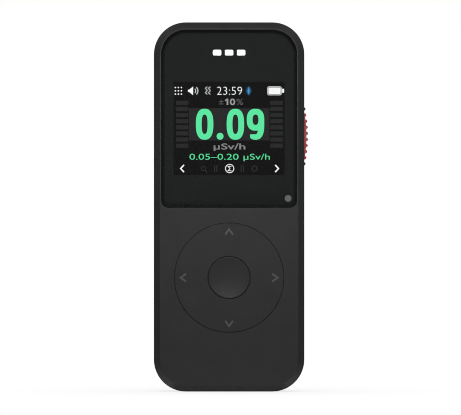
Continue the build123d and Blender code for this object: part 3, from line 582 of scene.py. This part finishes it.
# Places on the picture are in millimetres, right of its middle and below its top.
STATUS_ROW = 3.0
MENU = (-18.53, STATUS_ROW)
MENU_PITCH = (1.1, 1.2)
MENU_DOT = 0.52
SPEAKER = (-14.05, STATUS_ROW)
SPEAKER_WAVES = (-12.95, STATUS_ROW)
SHAKE = (-7.85, STATUS_ROW)
CLOCK_X = 0.15
RADIO = (7.15, STATUS_ROW)
BATTERY = (16.6, STATUS_ROW)
BATTERY_TIP = (19.75, STATUS_ROW)


def build_menu_dots():
    """Nine dots in a square."""
    dots = [shape((MENU[0] + MENU_PITCH[0] * i, MENU[1] + MENU_PITCH[1] * j), MENU_DOT, MENU_DOT, 0.2)
            for i in (-1, 0, 1) for j in (-1, 0, 1)]
    picture_piece("menu_dots", WHITE, dots)


def build_speaker():
    """A loudspeaker with two sound waves."""
    cone = [(-1.0, -0.42), (-0.5, -0.45), (0.9, -1.6), (0.9, 1.6), (-0.5, 0.45), (-1.0, 0.42)]
    picture_piece("speaker_cone", WHITE, [moved(cone, SPEAKER)])
    waves = [pen(arc((-0.3, 0.0), radius, -46, 46, 8), SPEAKER_WAVES, 0.36) for radius in (1.05, 1.85)]
    picture_piece("speaker_waves", SOFT_WHITE, waves)


def build_shake_mark():
    """Two upright zigzags, for vibration."""
    zigzag = [(0.4, 1.5), (-0.35, 0.9), (0.4, 0.1), (-0.35, -0.7), (0.4, -1.3)]
    shakes = [pen([(x + dx, z) for x, z in zigzag], SHAKE, 0.3) for dx in (-0.5, 0.62)]
    picture_piece("vibration_mark", SOFT_WHITE, shakes)


def build_radio_mark():
    """A blue lozenge in a dark oval."""
    picture_piece("radio_halo", DEEP_BLUE, [moved(oval((0.0, 0.0), 1.15, 1.7, power=1.6), RADIO)])
    lozenge = [(0.0, 1.45), (0.55, 0.0), (0.0, -1.45), (-0.55, 0.0)]
    picture_piece("radio_mark", BLUE, [moved(lozenge, RADIO)], layer=2)


def build_battery():
    """A full battery: its outline, filling and tip."""
    outline = (shape(BATTERY, 5.35, 3.3, 0.75), shape(BATTERY, 4.75, 2.7, 0.5))
    picture_piece("battery_outline", SOFT_WHITE, bands=[outline])
    picture_piece("battery_fill", WHITE, [shape(BATTERY, 4.45, 2.4, 0.4), shape(BATTERY_TIP, 0.7, 1.5, 0.3)])


def build_status_row():
    """The row of marks along the top of the picture."""
    build_menu_dots()
    build_speaker()
    build_shake_mark()
    picture_text("clock_figures", "23:59", CLOCK_X, STATUS_ROW, 2.95, 9.2, WHITE, -0.016)
    build_radio_mark()
    build_battery()


BAR_COUNT = 8
BAR_PITCH = 2.234
BAR_HEIGHT = 1.5
FIRST_BAR = 7.4
READING_PANEL = (0.0, 15.25)


def build_bars():
    """Unlit level bars on both sides of the reading, and the panel behind it."""
    for name, x, width in (("left_bars", -17.15, 4.5), ("right_bars", 17.35, 4.6)):
        rows = [FIRST_BAR + i * BAR_PITCH for i in range(BAR_COUNT)]
        picture_piece(name, DIM, [shape((x, row), width, BAR_HEIGHT, 0.12, 3) for row in rows])
    picture_piece("reading_panel", DIM, [shape(READING_PANEL, 29.4, 11.8, 0.15, 3)])


DIGIT_HALF = (3.2, 5.65)
DIGIT_STEM = 2.12
DIGIT_CROWN = 2.1
READING_ROW = 15.22
NOUGHTS_X = (-8.95, 2.3)
POINT_X = -3.3
POINT_SIZE = 2.5
NINE = (9.65, READING_ROW)
BOWL_HALF = 4.0
TAIL_CROWN = 1.95
TAIL_END = -1.95


def nought(x):
    """A bold condensed nought, as a band between two squarish ovals."""
    hole = (DIGIT_HALF[0] - DIGIT_STEM, DIGIT_HALF[1] - DIGIT_CROWN)
    centre = (x, READING_ROW)
    return moved(oval((0, 0), *DIGIT_HALF, 2.5), centre), moved(oval((0, 0), *hole, 2.6), centre)


def nine_bowl():
    """The closed upper part of the nine."""
    middle = (0.0, DIGIT_HALF[1] - BOWL_HALF)
    outer = oval(middle, DIGIT_HALF[0], BOWL_HALF, 2.4)
    inner = oval(middle, DIGIT_HALF[0] - DIGIT_STEM, BOWL_HALF - DIGIT_CROWN, 2.4)
    return moved(outer, NINE), moved(inner, NINE)


def nine_tail():
    """The nine's tail: down the right side, left along the bottom, and an upright cut at its end."""
    outside = oval((0, 0), *DIGIT_HALF, 2.5, start=25.0, end=-130.0, steps=32)
    hole = (DIGIT_HALF[0] - DIGIT_STEM, DIGIT_HALF[1] - TAIL_CROWN)
    inside = oval((0, 0), *hole, 2.2, start=15.0, end=-95.0, steps=24)
    tail = [point for point in outside if point[0] > TAIL_END]
    tail += [(TAIL_END, tail[-1][1]), (TAIL_END, TAIL_CROWN - DIGIT_HALF[1])] + inside[::-1]
    return moved(tail, NINE)


def build_reading():
    """The reading in large green figures: 0.09."""
    point_centre = (POINT_X, READING_ROW + DIGIT_HALF[1] - POINT_SIZE / 2)
    point = moved(rounded_box((0, 0), POINT_SIZE, POINT_SIZE, 1.2, 8), point_centre)
    bands = [nought(x) for x in NOUGHTS_X] + [nine_bowl()]
    picture_piece("reading_figures", GREEN, [point], bands, layer=3)
    picture_piece("reading_tail", GREEN, [nine_tail()], layer=4)


TOLERANCE_ONE = (-0.75, 7.05)
TOLERANCE_NOUGHT = (1.25, 7.05)


def build_tolerance():
    """The tolerance above the reading: plus or minus 10 per cent."""
    one = [(-0.1, 1.2), (0.45, 1.2), (0.45, -1.15), (-0.15, -1.15), (-0.15, 0.5), (-0.75, 0.2), (-0.75, 0.75)]
    ring = oval_ring(TOLERANCE_NOUGHT, (0.98, 1.2), (0.42, 0.7), 2.2)
    picture_piece("tolerance_figures", scaled(GREY, 1.7), [moved(one, TOLERANCE_ONE)], [ring], layer=3)
    picture_text("tolerance_sign", "±", -2.9, 7.1, 1.7, 1.7, DARK_GREY, 0.01)
    picture_text("tolerance_percent", "%", 3.9, 7.05, 2.3, 2.5, DARK_GREY, 0.01)


def build_units():
    """The unit below the reading, and the normal range below that."""
    picture_text("unit_sign", "µSv/h", 0.15, 23.6, 2.75, 11.6, scaled(GREY, 1.2), 0.015)
    picture_text("range_figures", "0.05–0.20 µSv/h", 0.2, 27.35, 2.7, 29.4, scaled(GREEN, 0.85), 0.002)


BOTTOM_ROW = 31.4
PAGE_ARROWS = (("page_left", -17.1, -1), ("page_right", 17.45, 1))
PAGE_MARK = (0.2, BOTTOM_ROW)
SEARCH_MARK = (-9.4, BOTTOM_ROW)
DIAL_MARK = (9.3, BOTTOM_ROW)
COLUMNS_X = (-5.3, -4.5, 4.4, 5.3)


def build_bottom_row():
    """Arrows to turn the page, the lit page mark, and the faint marks of the other pages."""
    for name, x, side in PAGE_ARROWS:
        path = [(-side * 0.6, 1.3), (side * 0.6, 0.0), (-side * 0.6, -1.3)]
        picture_piece(name, WHITE, [pen(path, (x, BOTTOM_ROW), 0.5)])
    sum_sign = [(0.62, 0.8), (-0.55, 0.8), (0.12, 0.0), (-0.55, -0.8), (0.62, -0.8)]
    ring = oval_ring(PAGE_MARK, (1.68, 1.68), (1.36, 1.36))
    picture_piece("page_mark", scaled(WHITE, 0.85), [pen(sum_sign, PAGE_MARK, 0.3)], [ring])
    handle = pen([(0.65, -0.65), (1.4, -1.4)], SEARCH_MARK, 0.35)
    columns = [shape((x, BOTTOM_ROW), 0.4, 2.4, 0.12, 3) for x in COLUMNS_X]
    search = oval_ring(SEARCH_MARK, (0.95, 0.95), (0.65, 0.65))
    dial = oval_ring(DIAL_MARK, (1.15, 1.15), (0.75, 0.75))
    picture_piece("faint_marks", FAINT, [handle] + columns, [search, dial])


# ---------------------------------------------------------------- prints on the case

PRINT_FILM = 0.01 * MM
CHEVRON_MIDDLE = 16.72 * MM
CHEVRON_REACH = 1.0 * MM
CHEVRON_HALF = 1.42 * MM
CHEVRON_LINE = 0.64 * MM


def build_chevrons():
    """Four printed arrows on the navigation ring."""
    bm = bmesh.new()
    for quarter in range(4):
        a = math.radians(90 * quarter)
        out, side = Vector((math.cos(a), math.sin(a))), Vector((-math.sin(a), math.cos(a)))
        bends = ((-CHEVRON_REACH, CHEVRON_HALF), (CHEVRON_REACH, 0.0), (-CHEVRON_REACH, -CHEVRON_HALF))
        path = [out * (CHEVRON_MIDDLE + r) + side * s + ring_centre for r, s in bends]
        add_plate(bm, stroke(path, CHEVRON_LINE), face_y - PRINT_FILM, face_y)
    mesh_piece("ring_arrows", bm, ink("arrow_ink", (0.055, 0.055, 0.055)), "ring")


DASH_HEIGHT = 2.1 * MM
DASH_WIDTH = 3.1 * MM
DASH_PITCH = 4.4 * MM
DASH_DROP = 8.4 * MM


def build_top_mark():
    """A plain row of dashes printed behind the top of the window."""
    bm = bmesh.new()
    for i in (-1, 0, 1):
        dash = rounded_box((i * DASH_PITCH, lens_high.z - DASH_DROP), DASH_WIDTH, DASH_HEIGHT, 0.5 * MM)
        add_plate(bm, dash, mask_low.y - BOND_GAP * 0.6, mask_low.y - BOND_GAP * 0.1)
    mesh_piece("window_dashes", bm, ink("white_ink", (0.8, 0.8, 0.8)), "case")


# Width of the painted shade along the window's edge.
EDGE_SHADE_WIDTH = 1.35 * MM


def build_window_edge_shade():
    """Painted shade: a darker band around the very edge of the window, where the bent edge of the glass looks
    dark.
    """
    bm = bmesh.new()
    y = mask_low.y - BOND_GAP * 0.5
    bridge(bm, loop_at(bm, lens_outline(0.02 * MM), y), loop_at(bm, lens_outline(EDGE_SHADE_WIDTH), y))
    edge_shade_ink = ink("edge_shade_ink", (0.0035, 0.0038, 0.0037), 0.6, 0.0)
    mesh_piece("window_border", bm, edge_shade_ink, "case")


LABEL_MARGIN = 1.5 * MM
LABEL_RULE = 0.25 * MM
LABEL_CORNER = 1.2 * MM
LABEL_LINES = (-0.18, 0.14)


def build_label_frame():
    """A thin ruled frame printed on the blank rear label."""
    centre = ((label_low.x + label_high.x) / 2, (label_low.z + label_high.z) / 2)
    width = label_high.x - label_low.x - 2 * LABEL_MARGIN
    height = label_high.z - label_low.z - 2 * LABEL_MARGIN
    front, back = label_high.y + PRINT_FILM, label_high.y
    outer = rounded_box(centre, width, height, LABEL_CORNER)
    inner = rounded_box(centre, width - 2 * LABEL_RULE, height - 2 * LABEL_RULE, LABEL_CORNER - LABEL_RULE)
    bm = bmesh.new()
    add_band(bm, outer, inner, front, back)
    for share in LABEL_LINES:
        middle = (centre[0], centre[1] + share * height)
        add_plate(bm, rounded_box(middle, width - 2 * MM, LABEL_RULE, LABEL_RULE / 3, 2), front, back)
    mesh_piece("label_rules", bm, ink("label_ink", (0.25, 0.25, 0.25)), "case")


# ---------------------------------------------------------------- materials of the CAD nodes

CASE_COLOUR = (0.0215, 0.0215, 0.0217)
KEY_COLOUR = (0.021, 0.021, 0.0212)
# How much the case's walls that face left and right are darkened: painted shade.
SIDE_SHADE = 0.9
# How much darker the centre key is painted than the ring: painted shade.
DISH_SHADE = 0.86


def key_plastic(name, colour, edge_paling):
    """The finer grained plastic of the ring and the key."""
    return moulded(name, colour, 0.46, 0.25 * MM, 0.008 * MM, mottle=0.05, edge_paling=edge_paling)


def build_slot_materials():
    """One material for each material slot of the record, by the slot's name."""
    return {
        "case_plastic": moulded("case_plastic", CASE_COLOUR, 0.5, mottle=0.05, edge_paling=0.2,
                                lip_height=lens_low.z, side_shade=SIDE_SHADE),
        "key_plastic": key_plastic("key_plastic", KEY_COLOUR, 0.2),
        "red_plastic": moulded("red_plastic", (0.29, 0.05, 0.056), 0.42, grain=0.3 * MM, edge_paling=0.2),
        "window_glass": clear("spare_glass", GLASS_TINT, 0.02, 1.5),
        "mask_ink": ink("mask_ink", (0.006, 0.0068, 0.0064), 0.5, 0.15),
        "display_glass": ink("display_glass", (0.001, 0.001, 0.001), 0.4, 0.1),
        "clear_acrylic": moulded("frosted_acrylic", (0.09, 0.09, 0.092), 0.35, depth=0.004 * MM),
        "black_plastic": moulded("black_plastic", (0.02, 0.02, 0.02), 0.5),
        "white_plastic": moulded("white_plastic", (0.7, 0.7, 0.68), 0.45),
        "cream_plastic": moulded("cream_plastic", (0.66, 0.6, 0.46), 0.5),
        "grey_silicone": moulded("grey_silicone", (0.22, 0.22, 0.23), 0.65, grain=0.6 * MM),
        "black_foam": foam("black_foam", (0.03, 0.03, 0.03)),
        "label_film": moulded("label_film", (0.04, 0.04, 0.041), 0.36, grain=0.15 * MM, depth=0.004 * MM),
        "flex_film": ink("flex_film", (0.4, 0.19, 0.03), 0.3),
        "clear_film": moulded("dust_film", (0.05, 0.05, 0.05), 0.4, depth=0.004 * MM),
        "circuit_board": board_mask("circuit_board", (0.01, 0.1, 0.045)),
        "ceramic_parts": moulded("ceramic_parts", (0.38, 0.28, 0.18), 0.55),
        "ferrite": moulded("ferrite", (0.045, 0.045, 0.05), 0.6, grain=0.5 * MM, depth=0.03 * MM),
        "shield_steel": metal("shield_steel", (0.62, 0.61, 0.58), 0.34),
        "switch_steel": metal("switch_steel", (0.55, 0.55, 0.54), 0.38, (14.0, 1.0, 1.0)),
        "tube_steel": metal("tube_steel", (0.5, 0.5, 0.5), 0.3),
        "black_steel": metal("black_steel", (0.035, 0.035, 0.037), 0.42, (1.0, 1.0, 1.0)),
        "cap_brass": metal("cap_brass", (0.62, 0.44, 0.18), 0.32),
        "weight_metal": metal("weight_metal", (0.33, 0.33, 0.33), 0.5, (1.0, 1.0, 1.0)),
        "cell_pouch": metal("cell_pouch", (0.6, 0.61, 0.63), 0.4, (1.0, 1.0, 1.0)),
        "lead_wire": moulded("lead_wire", (0.35, 0.02, 0.02), 0.45),
        "mesh_fabric": woven("mesh_fabric", (0.02, 0.02, 0.02)),
    }


def dress_nodes():
    """Gives every CAD node the material of its slot, and the centre key a darker copy of the key plastic,
    which is painted shade.
    """
    materials = build_slot_materials()
    for part in frame["record"]["subparts"]:
        for slot in frame["nodes"][part["node"]].material_slots:
            slot.material = materials[part["material_slot"]]
    # The centre key's darker plastic is painted shade: its dish faces partly away from the light.
    shaded_key = key_plastic("shaded_key_plastic", scaled(KEY_COLOUR, DISH_SHADE), 0.06)
    for slot in frame["nodes"]["center_key"].material_slots:
        slot.material = shaded_key


# ---------------------------------------------------------------- studio

LENS = 500.0
SENSOR = 36.0
VIEW_WIDTH = 168.4 * MM
VIEW_CENTRE = Vector((0.51 * MM, 0.0, 67.3 * MM))


def build_camera():
    """A long lens, level with the object and square to its front face."""
    data = bpy.data.cameras.new("camera")
    data.lens = LENS
    data.sensor_width = SENSOR
    data.clip_end = 100.0
    camera = bpy.data.objects.new("camera", data)
    bpy.context.scene.collection.objects.link(camera)
    distance = VIEW_WIDTH * LENS / SENSOR
    camera.location = VIEW_CENTRE + Vector((0.0, face_y - distance, 0.0))
    camera.rotation_euler = (math.radians(90), 0.0, 0.0)
    bpy.context.scene.camera = camera


# Glow of the dome against depth along Y, from 0 straight ahead of the face to 1 straight behind.
DOME_GLOW = ((0.002, 0.108), (0.045, 0.004), (0.2, 0.004), (0.55, 0.02), (0.85, 0.35))


def build_world():
    """White to the camera. For light, a dim dome with a soft patch straight ahead of the front face."""
    world = bpy.data.worlds.new("studio")
    bpy.context.scene.world = world
    world.use_nodes = True
    sky = Nodes(world.node_tree)
    backdrop = sky.node("ShaderNodeBackground")
    sky.feed(backdrop, "Color", (1.0, 1.0, 1.0, 1.0))
    direction = sky.node("ShaderNodeTexCoord").outputs["Generated"]
    ramp = sky.node("ShaderNodeValToRGB")
    sky.feed(ramp, "Fac", sky.spread(sky.axis(direction, "Y"), 0.0, 1.0, -1.0, 1.0))
    stops = ramp.color_ramp.elements
    while len(stops) < len(DOME_GLOW):
        stops.new(0.5)
    for stop, (place, level) in zip(stops, DOME_GLOW):
        stop.position = place
        stop.color = (level, level, level, 1.0)
    dome = sky.node("ShaderNodeBackground")
    sky.feed(dome, "Color", ramp.outputs["Color"])
    sky.split_rays("ShaderNodeOutputWorld", dome, backdrop)


def softbox(name, place, target, size, power, diffuse=True, glossy=True):
    """A flat lamp at a place, facing a target. The camera doesn't see it, directly or through the glass."""
    data = bpy.data.lights.new(name, "AREA")
    data.shape = "RECTANGLE"
    data.size, data.size_y = size
    data.energy = power
    lamp = bpy.data.objects.new(name, data)
    bpy.context.scene.collection.objects.link(lamp)
    lamp.location = place
    lamp.rotation_euler = (Vector(target) - Vector(place)).to_track_quat("-Z", "Y").to_euler()
    lamp.visible_camera = False
    lamp.visible_transmission = False
    lamp.visible_diffuse = diffuse
    lamp.visible_glossy = glossy
    return lamp


def light_only(lamp, objects):
    """Keeps a lamp's light to these objects."""
    receivers = bpy.data.collections.new(lamp.name + "_receivers")
    for item in objects:
        receivers.objects.link(item)
    lamp.light_linking.receiver_collection = receivers


# Places, targets and sizes of the lamps are in metres, and their powers in watts.
KEY_LIGHT = {"place": (0.004, -0.15, 0.125), "target": (0.0, 0.0, 0.11), "size": (0.08, 0.08), "power": 0.262}
AXIS_LIGHT = {"place": (0.0, -2.2, 0.067), "target": (0.0, 0.0, 0.067), "size": (0.06, 0.06), "power": 30.0}
SHEEN_LIGHT = {"place": (0.0, -0.5, 0.33), "target": (0.0, 0.0, 0.05), "size": (0.3, 0.12), "power": 0.42}
TOP_LIGHT = {"place": (0.0, -0.24, 0.52), "target": (0.0, 0.0, 0.09), "size": (0.2, 0.12), "power": 0.09}
BACK_PLACE = Vector((0.52, 0.8, 0.62))
BACK_LIGHT = {"target": (0.0, 0.0, 0.07), "size": (0.3, 0.4), "power": 12.0}
RIM_LIGHT = {"target": (0.0, 0.0, 0.07), "size": (0.4, 0.5), "power": 2.5}


def build_face_lights():
    """A near lamp that shades the face from top to bottom, and a far one that reaches into the keys' gaps."""
    softbox("key_light", **KEY_LIGHT, glossy=False)
    far = softbox("axis_light", **AXIS_LIGHT, glossy=False)
    # The far lamp would glint where the glass bends at its edge.
    solid = [item for item in bpy.data.objects if item.type == "MESH" and item.name != "window_glass"]
    light_only(far, solid)


def build_sheen_light():
    """A lamp that only puts a sheen in the dish of the key."""
    sheen = softbox("sheen_light", **SHEEN_LIGHT, diffuse=False)
    light_only(sheen, [frame["nodes"]["center_key"]])


def build_back_lights():
    """A lamp for the top bevel, and on each side one for the back and a weak one for its rim."""
    softbox("top_light", **TOP_LIGHT, glossy=False)
    for name, side in (("left_light", -1), ("right_light", 1)):
        place = (side * BACK_PLACE.x, BACK_PLACE.y, BACK_PLACE.z)
        softbox(name, place, **BACK_LIGHT, glossy=False)
        softbox(name + "_rim", place, **RIM_LIGHT, diffuse=False)


FLOOR_RADIUS = 12.0
FLOOR_DROP = 0.05 * MM
POOL_SQUEEZE = (0.65, 1.4, 0.0)
POOL_EDGE = (20.0 * MM, 36.0 * MM)
POOL_PAINT = 0.6
FAR_PAINT = 0.08
SHADOW_REACH = 70.0 * MM
SHADOW_LEVEL = 0.75


def floor_paint():
    """White to the camera apart from a painted contact shadow. For light, a painted pool of light: a pale
    oval under the object.

    Away from the object the paint darkens, so that the glass has nothing bright to mirror.
    """
    material = bpy.data.materials.new("floor_paint")
    material.use_nodes = True
    nodes = Nodes(material.node_tree)
    squeeze = nodes.node("ShaderNodeVectorMath", operation="MULTIPLY")
    nodes.feed(squeeze, 0, nodes.node("ShaderNodeNewGeometry").outputs["Position"])
    nodes.feed(squeeze, 1, POOL_SQUEEZE)
    reach = nodes.node("ShaderNodeVectorMath", operation="LENGTH")
    nodes.feed(reach, 0, squeeze.outputs[0])
    # For light, the floor is painted as a pool of light near the object.
    paint = nodes.node("ShaderNodeBsdfDiffuse")
    nodes.feed(paint, "Color", nodes.spread(reach.outputs["Value"], POOL_PAINT, FAR_PAINT, *POOL_EDGE))
    # The contact shadow is painted: an occlusion test darkens the white that the camera sees.
    contact = nodes.node("ShaderNodeAmbientOcclusion", samples=8)
    nodes.feed(contact, "Distance", SHADOW_REACH)
    shown = nodes.node("ShaderNodeEmission")
    nodes.feed(shown, "Color", nodes.spread(contact.outputs["AO"], SHADOW_LEVEL, 1.0, 0.0, 1.0))
    nodes.split_rays("ShaderNodeOutputMaterial", paint, shown)
    return material


def build_floor():
    """A round pale floor, just under the object."""
    bm = bmesh.new()
    bmesh.ops.create_circle(bm, cap_ends=True, segments=96, radius=FLOOR_RADIUS)
    mesh = bpy.data.meshes.new("floor")
    bm.to_mesh(mesh)
    bm.free()
    mesh.materials.append(floor_paint())
    floor = bpy.data.objects.new("floor", mesh)
    floor.location.z = -FLOOR_DROP
    bpy.context.scene.collection.objects.link(floor)


# ---------------------------------------------------------------- build

dress_nodes()
build_lens()
build_status_row()
build_bars()
build_reading()
build_tolerance()
build_units()
build_bottom_row()
build_chevrons()
build_top_mark()
build_window_edge_shade()
build_label_frame()
build_camera()
build_world()
build_face_lights()
build_sheen_light()
build_back_lights()
build_floor()
bpy.context.scene.view_settings.view_transform = "Standard"
bpy.context.scene.cycles.filter_width = 1.0
